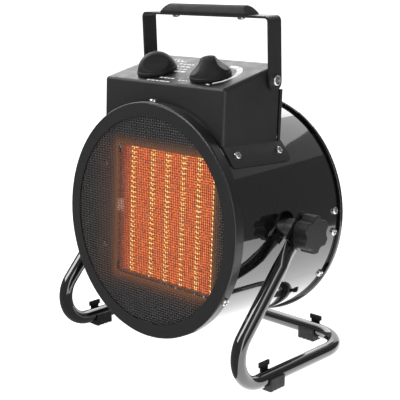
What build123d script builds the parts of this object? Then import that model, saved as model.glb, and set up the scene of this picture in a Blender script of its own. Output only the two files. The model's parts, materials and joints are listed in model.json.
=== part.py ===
from build123d import *
import math
import os

# Drum fan heater with a ceramic element, tilting on a bent-tube stand. Millimetres, +Z up, front to -Y.
# The heater is drawn level, in its own frame: Y runs back along the drum's axis from the front face.
# place_heater() then tips it nose-up about the clamp axis and sets it at its height over the floor.

# How far a cutting shape runs past the face that it opens, and how far joined shapes reach into each other.
PAST = 5.0
BITE = 1.0

# ---- drum, rings and grilles
DRUM_RADIUS = 103.5
DRUM_WALL = 0.8
DRUM_END = 141.5
SHEET = 1.2
RING_FIT = 0.3
RING_SKIRT = 10.0
RING_BAND = 12.5
RING_ROUND = 1.8
MESH_THICKNESS = 0.8
MESH_MARGIN = 0.3
RETAINER_WIDTH = 6.5
REAR_RING_PROUD = 3.0
REAR_RING_LIP = 4.2
REAR_RING_GAP = 0.8
REAR_RING_BAND = 13.5
REAR_RING_TUCK = 9.5
REAR_RING_EDGE = 1.0
REAR_NOTCH_DEEP = 20.0
REAR_SLOT_ROWS = [(34.0, 24.0, 20), (70.0, 36.0, 40)]
REAR_SLOT_WIDTH = 3.4
SCREW_COUNT = 3
RING_SCREW_START = 90.0
FRONT_SCREW_BACK = 5.2
REAR_SCREW_IN = 4.2

# ---- baffle and heating element
BAFFLE_Y = 20.0
BAFFLE_RIM = 9.0
WINDOW_FIT = 0.6
WINDOW_ROUND = 2.0
ELEMENT_WIDTH = 120.0
ELEMENT_HEIGHT = 119.0
ELEMENT_DEPTH = 16.0
ELEMENT_FRONT = 24.0
ELEMENT_FRAME = 1.2
STRIP_WIDTH = 2.4
STRIP_PITCH = 19.4
STRIP_COUNT = 5
STRIP_MARGIN = 2.4
LAST_STRIP_IN = 14.4
DIVIDER = 0.8
FIN_COLUMN = 8.0
COLUMN_SLACK = 0.2
FIN_PITCH = 2.2
FIN_SHEET = 0.32
FIN_CLEAR = 0.05
BRACKET_SCREW_OUT = 18.0
BRACKET_SCREW_DOWN = 13.0
BRACKET_ROOM = 2.7
BRACKET_FOOT = 24.0
BRACKET_CLEAR = 0.2
TERMINAL_Z = 3.0
TERMINAL_COIL_RADIUS = 2.6
TERMINAL_WIRE = 0.6
TERMINAL_TURNS = 6
TERMINAL_PITCH = 1.9

# ---- fan and motor
FAN_GAP = 18.7
FAN_BEHIND_ELEMENT = 20.0
FAN_DEPTH = 20.0
FAN_HUB = 14.0
BLADE_COUNT = 7
BLADE_CHORD = 42.0
BLADE_PITCH = 26.0
BLADE_SHEET = 1.6
BLADE_ROOT = 11.2
MOTOR_SHAFT = 2.5
SHAFT_PROUD = 5.0
SHAFT_SHORT = 6.0
FAN_NUT_RADIUS = 5.5
FAN_NUT_HIGH = 3.6
RUNNING_FIT = 0.05
MOTOR_GAP = 9.0
MOTOR_RADIUS = 30.0
MOTOR_ROUND = 3.0
MOTOR_TO_END = 10.5
MOTOR_BOSS = 8.0
MOTOR_NOSE = 3.0
STRAP_WALL = 1.5
STRAP_HALF = 14.0
STRAP_FOOT = 9.0
STRAP_SCREW_Z = 9.9
STRAP_SCREW_IN = 5.5

# ---- clamp: boss, stud, washer, star knob
CLAMP_BEHIND_MIDDLE = 1.25
CLAMP_Z = 2.0
STUD_RADIUS = 3.0
STUD_REACH = 13.0
STUD_DEEP = 5.5
STUD_CHAMFER = 0.6
BOSS_RADIUS = 9.5
BOSS_SPIGOT = 6.0
BOSS_DEPTH = 6.5
HOLE_FIT = 0.1
TAB_PLAY = 0.2
WASHER_RADIUS = 10.0
WASHER_SHEET = 1.5
STAR_RADIUS = 16.5
STAR_THICK = 13.5
STAR_HUB_RADIUS = 9.5
STAR_HUB = 2.5
STAR_LOBES = 6
STAR_FLUTE = 6.0
STAR_FLUTE_AT = 19.6
STAR_ROUND = 1.4
STAR_EDGE = 0.8

# ---- stand
DRUM_OVER_FLOOR = 28.5
TILT = 2.75
TUBE_RADIUS = 6.5
TUBE_WALL = 1.0
FRONT_BEND = 27.0
REAR_BEND = 36.0
TAB_OFF_DRUM = 9.5
LEG_LEAN = 42.0
STAND_BEHIND_DRUM = 11.5
TAB_SHEET = 3.2
TAB_HALF = 9.5
TAB_ABOVE = 9.5
TAB_BELOW = 14.0
TAB_FLARE = 22.0
FOOT_PAD = 3.5
FOOT_WALL = 2.2
FOOT_LENGTH = 18.0
FOOT_NEAR = 12.0
FIN_TOP = 21.5
FIN_LENGTH = 13.5
FIN_WAIST = 9.5
FIN_WAIST_TOP = 16.8
FOOT_GROOVE = 1.0
FOOT_GROOVE_WIDE = 1.6
FOOT_ROUND = 1.5
FIN_OFF_TUBE = 0.2
FOOT_PEG = 2.0
FOOT_PEG_REACH = 4.0
FRONT_FOOT_PAST_BEND = 15.2
REAR_FOOT_PAST_BEND = 9.1

# ---- control hood
HOOD_HALF = 74.2
HOOD_FRONT = 14.0
HOOD_REAR = 85.7
HOOD_FRONT_RISE = 17.8
HOOD_REAR_RISE = 38.0
HOOD_ROUND = 3.2
FLANGE_SPAN = 11.6
FLANGE_END = 90.0
FLANGE_ROUND = 5.0
FLANGE_SCREW_UP = 6.0
FLANGE_SCREW_IN = 11.0
COVER_RISE = 15.5
COVER_ROUND = 1.8
COVER_WINDOW_MARGIN = 2.0
COVER_SCREW_X = 15.0
COVER_SCREW_IN = 19.2
COVER_SCREW_RISE = 6.5
GLAND_X = -45.0
GLAND_RISE = 3.5
GLAND_BORE = 4.2
GLAND_SPIGOT = 6.0
GLAND_BODY = 8.0
GLAND_HEX = 9.0
GLAND_LENGTH = 12.0
GLAND_COLLAR = 4.0
GLAND_ROUND = 2.6
GLAND_NUT = 2.6

# ---- dials on the panel
SELECTOR_X = -29.5
THERMOSTAT_X = 36.5
DIAL_Y = 37.4
DIAL_RADIUS = 18.3
DIAL_HEIGHT = 18.0
DIAL_LIFT = 0.6
DIAL_SKIRT = 3.0
DIAL_SCOOP = 16.2
DIAL_SCOOP_X = 21.8
DIAL_SCOOP_Z = 20.2
DIAL_SPINDLE = 3.0
DIAL_SPINDLE_DEPTH = 15.0
DIAL_SPINDLE_RISE = 11.0
SPINDLE_PLAY = 0.2
DIAL_STEP = 0.8
SELECTOR_TURN = 44.0
THERMOSTAT_TURN = -46.0
BUSH_RADIUS = 4.8
BUSH_RISE = 0.4
SWITCH_SIDE = 26.0
SWITCH_DEPTH = 18.0
SWITCH_ROUND = 2.0
LUG_WIDTH = 6.0
LUG_LENGTH = 3.5
LUG_SHEET = 0.8
LUG_SPACING = 8.0

# ---- handle
PIVOT_Y = 74.4
PIVOT_RISE = 23.5
HANDLE_OFF_HOOD = 3.6
HANDLE_HEIGHT = 54.5
HANDLE_BELOW = 9.0
HANDLE_WIDTH = 16.2
HANDLE_SHEET = 2.0
HANDLE_BEND = 5.0
HANDLE_LEAN = 5.3
PIVOT_RADIUS = 2.5
PIVOT_HEAD = 4.6
PIVOT_HEAD_HIGH = 2.6
PIVOT_PLAY = 0.1
PIVOT_WASHER = 7.0
GRIP_SHORT = 48.6
GRIP_WIDTH = 17.0
GRIP_HIGH = 8.0
GRIP_SLOPE = 7.0
GRIP_EDGE = 1.2
GRIP_SCREW_IN = 13.5
GRIP_SCREW_DEEP = 6.0

# ---- screws and small fittings
SCREW_HEAD = 3.5
SCREW_HEAD_HIGH = 2.4
SCREW_SHANK = 1.75
SCREW_LENGTH = 6.5
SCREW_FIT = 0.05
# A screw head's crown and cross recess, as shares of its height (crown, floor) and radius (across, arm).
SCREW_CROWN = 0.6
RECESS_FLOOR = 0.45
RECESS_ACROSS = 1.3
RECESS_ARM = 0.36
CUTOUT_RADIUS = 8.0
CUTOUT_HIGH = 7.0
TAG_X = 5.0
TAG_WIDTH = 4.8
TAG_LENGTH = 8.0
CUTOUT_OVER_ELEMENT = 16.5
BULB_RADIUS = 3.0
BULB_LENGTH = 40.0
BULB_X = 50.0
BULB_GAP = 18.7
BULB_Y = 50.0
CAPILLARY = 1.0
CAPILLARY_RISE = 6.0
CAPILLARY_BEND = 3.0
BLOCK_SIZE = (40.0, 18.0, 14.0)
BLOCK_Y = 64.0
BLOCK_WAYS = 4
BLOCK_WAY_BORE = 3.0
BLOCK_WAY_DEEP = 6.0
ENTRY_RADIUS = 8.0
ENTRY_Y = 30.0

INNER_RADIUS = DRUM_RADIUS - DRUM_WALL
CLAMP_Y = DRUM_END / 2 + CLAMP_BEHIND_MIDDLE
CLAMP_HEIGHT = DRUM_RADIUS + DRUM_OVER_FLOOR
STAND_HALF = DRUM_RADIUS + TAB_OFF_DRUM
STAND_BACK = DRUM_END - CLAMP_Y + STAND_BEHIND_DRUM
FAN_RADIUS = INNER_RADIUS - FAN_GAP
FAN_FRONT = ELEMENT_FRONT + ELEMENT_DEPTH + FAN_BEHIND_ELEMENT
HOOD_FRONT_TOP = DRUM_RADIUS + HOOD_FRONT_RISE
HOOD_REAR_TOP = DRUM_RADIUS + HOOD_REAR_RISE
HOOD_CORNER = math.degrees(math.acos((HOOD_HALF - SHEET) / DRUM_RADIUS))
FLANGE_LOW = HOOD_CORNER - FLANGE_SPAN
COVER_TOP = DRUM_RADIUS + COVER_RISE
GLAND_Z = DRUM_RADIUS + GLAND_RISE
PIVOT_Z = DRUM_RADIUS + PIVOT_RISE
CUTOUT_Z = ELEMENT_HEIGHT / 2 + CUTOUT_OVER_ELEMENT
BULB_Z = INNER_RADIUS - BULB_GAP
RING_RADIUS = DRUM_RADIUS + RING_FIT + SHEET
DRUM_FRONT = SHEET + MESH_MARGIN
PANEL_SLOPE = math.degrees(math.atan2(HOOD_REAR_TOP - HOOD_FRONT_TOP, HOOD_REAR - HOOD_FRONT))
TAB_INNER = STAND_HALF - TAB_SHEET / 2
TAB_OUTER = STAND_HALF + TAB_SHEET / 2
WASHER_INNER = TAB_OUTER + TAB_PLAY
STAR_INNER = WASHER_INNER + WASHER_SHEET + TAB_PLAY
STUD_INNER = DRUM_RADIUS - STUD_DEEP
STUD_OUTER = STAR_INNER + STUD_REACH
MOTOR_FRONT = FAN_FRONT + FAN_DEPTH + MOTOR_GAP
MOTOR_REAR = DRUM_END - MOTOR_TO_END
HOOD_FOOT = DRUM_RADIUS / 2
TUBE_Z = FOOT_PAD + TUBE_RADIUS
FRONT_CORNER_Y = -(CLAMP_HEIGHT - TUBE_Z) * math.tan(math.radians(LEG_LEAN))
FRONT_BEND_RUN = FRONT_BEND / math.tan(math.radians((90 - LEG_LEAN) / 2))
FRONT_FOOT_Y = FRONT_CORNER_Y + FRONT_BEND_RUN + FRONT_FOOT_PAST_BEND
REAR_FOOT_X = STAND_HALF - REAR_BEND - REAR_FOOT_PAST_BEND
HANDLE_HALF = HOOD_HALF + HANDLE_OFF_HOOD
GRIP_LENGTH = 2 * HANDLE_HALF - GRIP_SHORT
GRIP_SCREW_X = GRIP_LENGTH / 2 - GRIP_SCREW_IN
BRACKET_INNER = ELEMENT_WIDTH / 2 + ELEMENT_FRAME + BRACKET_CLEAR
BRACKET_HALF = math.sqrt((INNER_RADIUS - BRACKET_ROOM) ** 2 - (BRACKET_INNER + BRACKET_FOOT) ** 2)
BRACKET_SCREW_X = ELEMENT_WIDTH / 2 + BRACKET_SCREW_OUT
BRACKET_SCREW_Z = BRACKET_HALF - BRACKET_SCREW_DOWN
SIDES = {"right": 1, "left": -1}


# ---- shared shapes
def turned(points, radii=0):
    """A ring turned about the Y axis from an outline of (radius, y) points."""
    outline = FilletPolyline(*points, radius=radii, close=True)
    return revolve(make_face(outline), Axis.Y)


def tube_about_y(inner, outer, start, end):
    return turned([(inner, start), (outer, start), (outer, end), (inner, end)])


def disc(radius, start, end):
    return rod((0, start, 0), (0, end, 0), radius)


def rod(start, end, radius):
    run = Vector(*end) - Vector(*start)
    low = (Align.CENTER, Align.CENTER, Align.MIN)
    return Plane(origin=start, z_dir=run) * Cylinder(radius, run.length, align=low)


def block(x, y, z):
    """A box between the limits (low, high) on each axis."""
    low = (Align.MIN, Align.MIN, Align.MIN)
    box = Box(x[1] - x[0], y[1] - y[0], z[1] - z[0], align=low)
    return Pos(x[0], y[0], z[0]) * box


def group(solids):
    return Compound(children=list(solids))


def on_drum(angle, y, radius=DRUM_RADIUS):
    """A plane on a drum surface, facing out, at an angle from +X up round the Y axis."""
    turn = math.radians(angle)
    out = Vector(math.cos(turn), 0, math.sin(turn))
    return Plane(origin=out * radius + Vector(0, y, 0), x_dir=(0, 1, 0), z_dir=out)


def on_panel(x, y):
    """A plane on the hood's sloping panel, facing out, with its x axis along +X."""
    slope = math.radians(PANEL_SLOPE)
    z = HOOD_FRONT_TOP + (y - HOOD_FRONT) * math.tan(slope)
    return Plane(origin=(x, y, z), x_dir=(1, 0, 0), z_dir=(0, -math.sin(slope), math.cos(slope)))


def pan_screw(seat, length=SCREW_LENGTH, head=SCREW_HEAD, high=SCREW_HEAD_HIGH, shank=SCREW_SHANK):
    """A cross-recessed pan-head screw, its head standing on the seat plane."""
    low = (Align.CENTER, Align.CENTER, Align.MIN)
    cap = Cylinder(head, high, align=low)
    cap = fillet(cap.edges().sort_by(Axis.Z)[-1], high * SCREW_CROWN)
    across, arm = head * RECESS_ACROSS, head * RECESS_ARM
    floor = Pos(0, 0, high * RECESS_FLOOR)
    cap -= floor * Box(across, arm, high, align=low)
    cap -= floor * Box(arm, across, high, align=low)
    stem = Pos(0, 0, -length) * Cylinder(shank, length, align=low)
    return seat * (cap + stem)


def screw_hole(seat, length=SCREW_LENGTH, shank=SCREW_SHANK):
    return seat * Cylinder(shank + SCREW_FIT, 2 * length)


# ---- where the screws sit
def ring_seats(y, radius):
    step = 360 / SCREW_COUNT
    return [on_drum(RING_SCREW_START + i * step, y, radius) for i in range(SCREW_COUNT)]


def front_ring_seats():
    return ring_seats(FRONT_SCREW_BACK, RING_RADIUS)


def rear_ring_seats():
    return ring_seats(DRUM_END - REAR_SCREW_IN, DRUM_RADIUS)


def hood_seats():
    ends = (HOOD_FRONT + FLANGE_SCREW_IN, FLANGE_END - FLANGE_SCREW_IN)
    angle = FLANGE_LOW + FLANGE_SCREW_UP
    angles = (angle, 180 - angle)
    return [on_drum(angle, y, DRUM_RADIUS + SHEET) for angle in angles for y in ends]


def strap_seats():
    rise = math.degrees(math.asin(STRAP_SCREW_Z / DRUM_RADIUS))
    angles = (rise, -rise, 180 - rise, 180 + rise)
    return [on_drum(angle, DRUM_END - STRAP_SCREW_IN) for angle in angles]


def bracket_seats():
    seats = []
    for x in (-BRACKET_SCREW_X, BRACKET_SCREW_X):
        for z in (-BRACKET_SCREW_Z, BRACKET_SCREW_Z):
            seats.append(Plane(origin=(x, BAFFLE_Y, z), x_dir=(1, 0, 0), z_dir=(0, -1, 0)))
    return seats


def cover_seats():
    z = DRUM_RADIUS + COVER_SCREW_RISE
    return [Plane(origin=(x, FLANGE_END, z), x_dir=(1, 0, 0), z_dir=(0, 1, 0))
            for x in (COVER_SCREW_X, HOOD_HALF - COVER_SCREW_IN)]


def pivot_seats():
    seats = []
    for side in SIDES.values():
        at = (side * (HANDLE_HALF + PIVOT_PLAY), PIVOT_Y, PIVOT_Z)
        seats.append(Plane(origin=at, x_dir=(0, 1, 0), z_dir=(side, 0, 0)))
    return seats


# ---- drum, rings and grilles
def drum_shell():
    shell = tube_about_y(INNER_RADIUS, DRUM_RADIUS, DRUM_FRONT, DRUM_END)
    seats = front_ring_seats() + rear_ring_seats() + hood_seats() + strap_seats()
    shell -= [screw_hole(seat) for seat in seats]
    for side in SIDES.values():
        start = (side * (DRUM_RADIUS - BOSS_DEPTH), CLAMP_Y, CLAMP_Z)
        end = (side * (DRUM_RADIUS + BOSS_DEPTH), CLAMP_Y, CLAMP_Z)
        shell -= rod(start, end, BOSS_SPIGOT + HOLE_FIT)
    shell -= rod((0, ENTRY_Y, INNER_RADIUS - PAST), (0, ENTRY_Y, DRUM_RADIUS + PAST), ENTRY_RADIUS)
    return shell


def front_ring():
    bore = RING_RADIUS - RING_BAND
    inside = RING_RADIUS - SHEET
    outline = [(bore, 0), (RING_RADIUS, 0), (RING_RADIUS, RING_SKIRT), (inside, RING_SKIRT),
               (inside, SHEET), (bore, SHEET)]
    ring = turned(outline, [0, RING_ROUND, 0, 0, 0, 0])
    return ring - [screw_hole(seat) for seat in front_ring_seats()]


def front_mesh():
    return disc(INNER_RADIUS - MESH_MARGIN, SHEET, SHEET + MESH_THICKNESS)


def mesh_retainer():
    outer = INNER_RADIUS - MESH_MARGIN
    start = SHEET + MESH_THICKNESS
    return tube_about_y(outer - RETAINER_WIDTH, outer, start, start + SHEET)


def rear_ring():
    tuck = INNER_RADIUS - MESH_MARGIN
    lip = DRUM_RADIUS + REAR_RING_PROUD
    front = DRUM_END + REAR_RING_GAP
    back = front + REAR_RING_LIP
    bore = lip - REAR_RING_BAND
    toe = DRUM_END - REAR_RING_TUCK
    outline = [(lip, front), (lip, back), (bore, back), (bore, back - SHEET), (tuck - SHEET, back - SHEET),
               (tuck - SHEET, toe), (tuck, toe), (tuck, front)]
    ring = turned(outline, [REAR_RING_EDGE, RING_ROUND, 0, 0, 0, 0, 0, 0])
    notch = STRAP_HALF + REAR_RING_EDGE
    for side in SIDES.values():
        reach = sorted((side * (tuck - REAR_NOTCH_DEEP), side * (tuck + MESH_MARGIN / 2)))
        ring -= block(reach, (toe - BITE, DRUM_END), (-notch, notch))
    return ring - [screw_hole(seat) for seat in rear_ring_seats()]


def rear_grille():
    """A pressed plate with two rows of radial slots, held inside the rear ring."""
    back = DRUM_END + REAR_RING_GAP + REAR_RING_LIP - SHEET
    plate = disc(INNER_RADIUS - MESH_MARGIN - SHEET - MESH_MARGIN, back - SHEET, back)
    flat = Plane(origin=(0, back, 0), x_dir=(1, 0, 0), z_dir=(0, 1, 0))
    slots = []
    for radius, length, count in REAR_SLOT_ROWS:
        spots = PolarLocations(radius, count)
        slots += [extrude(flat * (spot * SlotOverall(length, REAR_SLOT_WIDTH)), 2 * SHEET, both=True)
                  for spot in spots]
    return plate - slots


# ---- baffle and heating element
def window_half():
    return (ELEMENT_WIDTH / 2 + ELEMENT_FRAME + WINDOW_FIT, ELEMENT_HEIGHT / 2 + ELEMENT_FRAME + WINDOW_FIT)


def baffle_plate():
    outer = INNER_RADIUS - MESH_MARGIN
    outline = [(0.0, BAFFLE_Y), (outer, BAFFLE_Y), (outer, BAFFLE_Y + BAFFLE_RIM),
               (outer - SHEET, BAFFLE_Y + BAFFLE_RIM), (outer - SHEET, BAFFLE_Y + SHEET),
               (0.0, BAFFLE_Y + SHEET)]
    plate = turned(outline)
    half_x, half_z = window_half()
    flat = Plane(origin=(0, BAFFLE_Y, 0), x_dir=(1, 0, 0), z_dir=(0, 1, 0))
    window = extrude(flat * RectangleRounded(2 * half_x, 2 * half_z, WINDOW_ROUND), 3 * SHEET, both=True)
    return plate - window - [screw_hole(seat) for seat in bracket_seats() + hood_seats()]


def element_brackets():
    """Two upright angles that hold the element's frame behind the baffle."""
    angles = []
    inner, half = BRACKET_INNER, BRACKET_HALF
    front = BAFFLE_Y + SHEET
    for side in SIDES.values():
        foot = sorted((side * inner, side * (inner + BRACKET_FOOT)))
        web = sorted((side * inner, side * (inner + SHEET)))
        angle = block(foot, (front, front + SHEET), (-half, half))
        angle += block(web, (front, ELEMENT_FRONT + ELEMENT_DEPTH), (-half, half))
        angles.append(angle - [screw_hole(seat) for seat in bracket_seats()])
    return group(angles)


def element_limits():
    return (ELEMENT_FRONT, ELEMENT_FRONT + ELEMENT_DEPTH)


def element_frame():
    half_x, half_z = ELEMENT_WIDTH / 2, ELEMENT_HEIGHT / 2
    wall = ELEMENT_FRAME
    outer = block((-half_x - wall, half_x + wall), element_limits(), (-half_z - wall, half_z + wall))
    return outer - block((-half_x, half_x), element_limits(), (-half_z, half_z))


def strip_centres():
    right = ELEMENT_WIDTH / 2 - STRIP_MARGIN
    centres = [right - i * STRIP_PITCH for i in range(STRIP_COUNT)]
    return centres + [LAST_STRIP_IN - ELEMENT_WIDTH / 2]


def fin_spaces():
    """The open widths beside and between the strips."""
    edges = [ELEMENT_WIDTH / 2]
    for centre in strip_centres():
        edges += [centre + STRIP_WIDTH / 2, centre - STRIP_WIDTH / 2]
    edges.append(-ELEMENT_WIDTH / 2)
    return [(edges[i + 1], edges[i]) for i in range(0, len(edges), 2)]


def fin_columns():
    """Each space between strips is split evenly into columns, with a divider between neighbours."""
    columns = []
    for low, high in fin_spaces():
        if high - low < FIN_COLUMN / 2:
            continue
        count = max(1, round((high - low) / FIN_COLUMN - COLUMN_SLACK))
        width = (high - low - (count - 1) * DIVIDER) / count
        columns.append([(low + i * (width + DIVIDER), low + i * (width + DIVIDER) + width)
                        for i in range(count)])
    return columns


def element_strips():
    half = ELEMENT_HEIGHT / 2
    return group(block((x - STRIP_WIDTH / 2, x + STRIP_WIDTH / 2), element_limits(), (-half, half))
                 for x in strip_centres())


def element_dividers():
    half = ELEMENT_HEIGHT / 2
    plates = []
    for columns in fin_columns():
        for low, high in columns[:-1]:
            plates.append(block((high, high + DIVIDER), element_limits(), (-half, half)))
    return group(plates)


def corrugated_fin(low, high):
    """One folded ribbon, zigzag up a column between two flat plates."""
    low, high = low + FIN_CLEAR, high - FIN_CLEAR
    fold = (high - low) * 2 * FIN_SHEET / (FIN_PITCH + 2 * FIN_SHEET)
    folds = 2 * int(ELEMENT_HEIGHT / FIN_PITCH) - 1
    start = -folds * FIN_PITCH / 4
    rise = [start + i * FIN_PITCH / 2 for i in range(folds + 1)]
    right = [((low + fold, high)[i % 2], ELEMENT_FRONT, z) for i, z in enumerate(rise)]
    left = [((low, high - fold)[i % 2], ELEMENT_FRONT, z) for i, z in enumerate(rise)]
    outline = Polyline(*right, *reversed(left), close=True)
    return extrude(make_face(outline), ELEMENT_DEPTH, dir=(0, 1, 0))


def element_fins():
    return group(corrugated_fin(low, high) for columns in fin_columns() for low, high in columns)


def element_terminal():
    """The coiled tail of the element's lead, on the front of the frame at its left edge."""
    path = Helix(TERMINAL_PITCH, TERMINAL_PITCH * TERMINAL_TURNS, TERMINAL_COIL_RADIUS)
    section = Plane(path @ 0, z_dir=path % 0) * Circle(TERMINAL_WIRE)
    coil = sweep(section, path=path, is_frenet=True)
    around = TERMINAL_COIL_RADIUS + TERMINAL_WIRE
    x = MESH_MARGIN + around - window_half()[0]
    return Pos(x, ELEMENT_FRONT - around, TERMINAL_Z - TERMINAL_PITCH * TERMINAL_TURNS / 2) * coil


# ---- fan and motor
def fan_blades():
    hub = disc(FAN_HUB, FAN_FRONT, FAN_FRONT + FAN_DEPTH)
    hub = fillet(hub.edges().sort_by(Axis.Y)[0], FAN_HUB / 4)
    middle = FAN_FRONT + FAN_DEPTH / 2
    span = FAN_RADIUS + BITE - BLADE_ROOT
    blade = Rot(BLADE_PITCH, 0, 0) * Box(span, BLADE_SHEET, BLADE_CHORD)
    blade = Pos(BLADE_ROOT + span / 2, middle, 0) * blade
    blades = [Rot(0, i * 360 / BLADE_COUNT, 0) * blade for i in range(BLADE_COUNT)]
    wheel = hub
    for one in blades:
        wheel += one & disc(FAN_RADIUS, FAN_FRONT - FAN_DEPTH, FAN_FRONT + 2 * FAN_DEPTH)
    return wheel - disc(MOTOR_SHAFT, FAN_FRONT - SHAFT_PROUD, MOTOR_REAR)


def motor_shaft():
    return disc(MOTOR_SHAFT, FAN_FRONT - SHAFT_PROUD, MOTOR_REAR - SHAFT_SHORT)


def fan_nut():
    flat = Plane(origin=(0, FAN_FRONT, 0), x_dir=(1, 0, 0), z_dir=(0, -1, 0))
    nut = extrude(flat * RegularPolygon(FAN_NUT_RADIUS, 6), FAN_NUT_HIGH)
    return nut - disc(MOTOR_SHAFT, FAN_FRONT - SHAFT_PROUD, FAN_FRONT + BITE)


def motor_can():
    can = disc(MOTOR_RADIUS, MOTOR_FRONT, MOTOR_REAR)
    can = fillet(can.edges().filter_by(GeomType.CIRCLE), MOTOR_ROUND)
    can += disc(MOTOR_BOSS, MOTOR_FRONT - MOTOR_NOSE, MOTOR_FRONT + BITE)
    return can - disc(MOTOR_SHAFT + RUNNING_FIT, MOTOR_FRONT - PAST, MOTOR_REAR - SHAFT_SHORT + BITE)


def motor_bracket():
    """A flat strap across the drum behind the motor, with its ends turned back onto the drum."""
    reach = math.sqrt(INNER_RADIUS ** 2 - STRAP_HALF ** 2) - HOLE_FIT
    strap = block((-reach, reach), (MOTOR_REAR, MOTOR_REAR + STRAP_WALL), (-STRAP_HALF, STRAP_HALF))
    for side in SIDES.values():
        foot = sorted((side * reach, side * (reach - STRAP_WALL)))
        strap += block(foot, (MOTOR_REAR, MOTOR_REAR + STRAP_FOOT), (-STRAP_HALF, STRAP_HALF))
    return strap - [screw_hole(seat) for seat in strap_seats()]


# ---- clamp hardware
def clamp_boss(side):
    """The threaded spacer between the drum and the stand's tab."""
    def reach(x):
        return (side * x, CLAMP_Y, CLAMP_Z)
    inner = DRUM_RADIUS - BOSS_DEPTH
    boss = rod(reach(inner), reach(TAB_INNER - TAB_PLAY), BOSS_RADIUS)
    boss -= disc(DRUM_RADIUS, 0, DRUM_END)
    boss += rod(reach(inner), reach(DRUM_RADIUS + BITE), BOSS_SPIGOT)
    return boss - rod(reach(inner - BITE), reach(TAB_INNER), STUD_RADIUS + RUNNING_FIT)


def clamp_washer(side):
    start = (side * WASHER_INNER, CLAMP_Y, CLAMP_Z)
    end = (side * (WASHER_INNER + WASHER_SHEET), CLAMP_Y, CLAMP_Z)
    return rod(start, end, WASHER_RADIUS) - rod(start, end, STUD_RADIUS + HOLE_FIT)


def clamp_stud(side):
    stud = rod((side * STUD_INNER, CLAMP_Y, CLAMP_Z), (side * STUD_OUTER, CLAMP_Y, CLAMP_Z), STUD_RADIUS)
    return chamfer(stud.edges().filter_by(GeomType.CIRCLE), STUD_CHAMFER)


def star_knob(side):
    """A fluted hand knob moulded round the stud's end."""
    flutes = [spot * Circle(STAR_FLUTE) for spot in PolarLocations(STAR_FLUTE_AT, STAR_LOBES)]
    face = Circle(STAR_RADIUS) - flutes
    star = Pos(0, 0, STAR_HUB) * extrude(face, STAR_THICK)
    star = fillet(star.edges().filter_by(Axis.Z), STAR_ROUND)
    star = fillet(star.faces().sort_by(Axis.Z)[-1].edges(), STAR_EDGE)
    low = (Align.CENTER, Align.CENTER, Align.MIN)
    star += Cylinder(STAR_HUB_RADIUS, STAR_HUB + BITE, align=low)
    star -= Cylinder(STUD_RADIUS, STUD_REACH, align=low)
    seat = Plane(origin=(side * STAR_INNER, CLAMP_Y, CLAMP_Z), x_dir=(0, 1, 0), z_dir=(side, 0, 0))
    return seat * star


# ---- control hood
def hood_block(inset):
    """The hood's solid outline, drawn in by the sheet's thickness for its inside."""
    slope = math.radians(PANEL_SLOPE)
    drop = inset / math.cos(slope)
    front, rear = HOOD_FRONT + inset, HOOD_REAR - inset
    half = HOOD_HALF - inset
    front_top = HOOD_FRONT_TOP + inset * math.tan(slope) - drop
    rear_top = HOOD_REAR_TOP - inset * math.tan(slope) - drop
    foot = HOOD_FOOT - inset
    outline = [(-half, front, foot), (-half, front, front_top), (-half, rear, rear_top), (-half, rear, foot)]
    solid = extrude(make_face(Polyline(*outline, close=True)), 2 * half, dir=(1, 0, 0))
    kept = [edge for edge in solid.edges() if edge.center().Z > foot + BITE]
    return fillet(kept, HOOD_ROUND - inset)


def drum_sector(inner, outer, start, end, low, high):
    """A curved plate on the drum, between two angles."""
    face = make_face(Polyline((inner, start), (outer, start), (outer, end), (inner, end), close=True))
    return Rot(0, -high, 0) * revolve(face, Axis.Y, high - low)


def hood_flange():
    plate = drum_sector(DRUM_RADIUS, DRUM_RADIUS + SHEET, HOOD_FRONT, FLANGE_END, FLANGE_LOW, HOOD_CORNER)
    corners = [edge for edge in plate.edges() if abs(edge.length - SHEET) < 0.01]
    return fillet(sorted(corners, key=lambda edge: edge.center().Z)[:2], FLANGE_ROUND)


def control_hood():
    """One folded sheet: front, sloping panel, sides and back, with a flange each side on the drum."""
    hood = hood_block(0) - hood_block(SHEET) - disc(DRUM_RADIUS, 0, DRUM_END)
    flange = hood_flange()
    hood = hood + flange + mirror(flange, Plane.YZ)
    hood -= [screw_hole(seat) for seat in hood_seats()]
    for x in (SELECTOR_X, THERMOSTAT_X):
        hood -= on_panel(x, DIAL_Y) * Cylinder(BUSH_RADIUS + HOLE_FIT, 4 * SHEET)
    reach = GLAND_SPIGOT + COVER_WINDOW_MARGIN
    hood -= block((GLAND_X - reach, GLAND_X + reach), (HOOD_REAR - 2 * SHEET, HOOD_REAR + SHEET),
                  (GLAND_Z - reach, GLAND_Z + reach))
    hood -= [screw_hole(seat, 2 * SCREW_LENGTH) for seat in cover_seats()]
    for side in SIDES.values():
        start = (side * (HOOD_HALF - PAST), PIVOT_Y, PIVOT_Z)
        end = (side * (HOOD_HALF + PAST), PIVOT_Y, PIVOT_Z)
        hood -= rod(start, end, PIVOT_RADIUS + SCREW_FIT)
    return hood


def hood_rear_cover():
    """A shallow pan over the lower half of the hood's back, where the lead comes in."""
    def pan(inset):
        solid = block((-HOOD_HALF + inset, HOOD_HALF - inset), (HOOD_REAR, FLANGE_END - inset),
                      (HOOD_FOOT - inset, COVER_TOP - inset))
        rear = solid.faces().sort_by(Axis.Y)[-1]
        kept = [edge for edge in rear.edges() if edge.center().Z > HOOD_FOOT + BITE]
        return fillet(kept, COVER_ROUND - inset)
    cover = pan(0) - pan(SHEET) - disc(DRUM_RADIUS + SHEET, 0, DRUM_END)
    cover -= gland_rod(GLAND_SPIGOT + HOLE_FIT, FLANGE_END - PAST, FLANGE_END + PAST)
    return cover - [screw_hole(seat) for seat in cover_seats()]


def gland_rod(radius, start, end):
    return rod((GLAND_X, start, GLAND_Z), (GLAND_X, end, GLAND_Z), radius)


def gland_span():
    return (HOOD_REAR - SHEET, FLANGE_END + GLAND_LENGTH)


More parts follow.
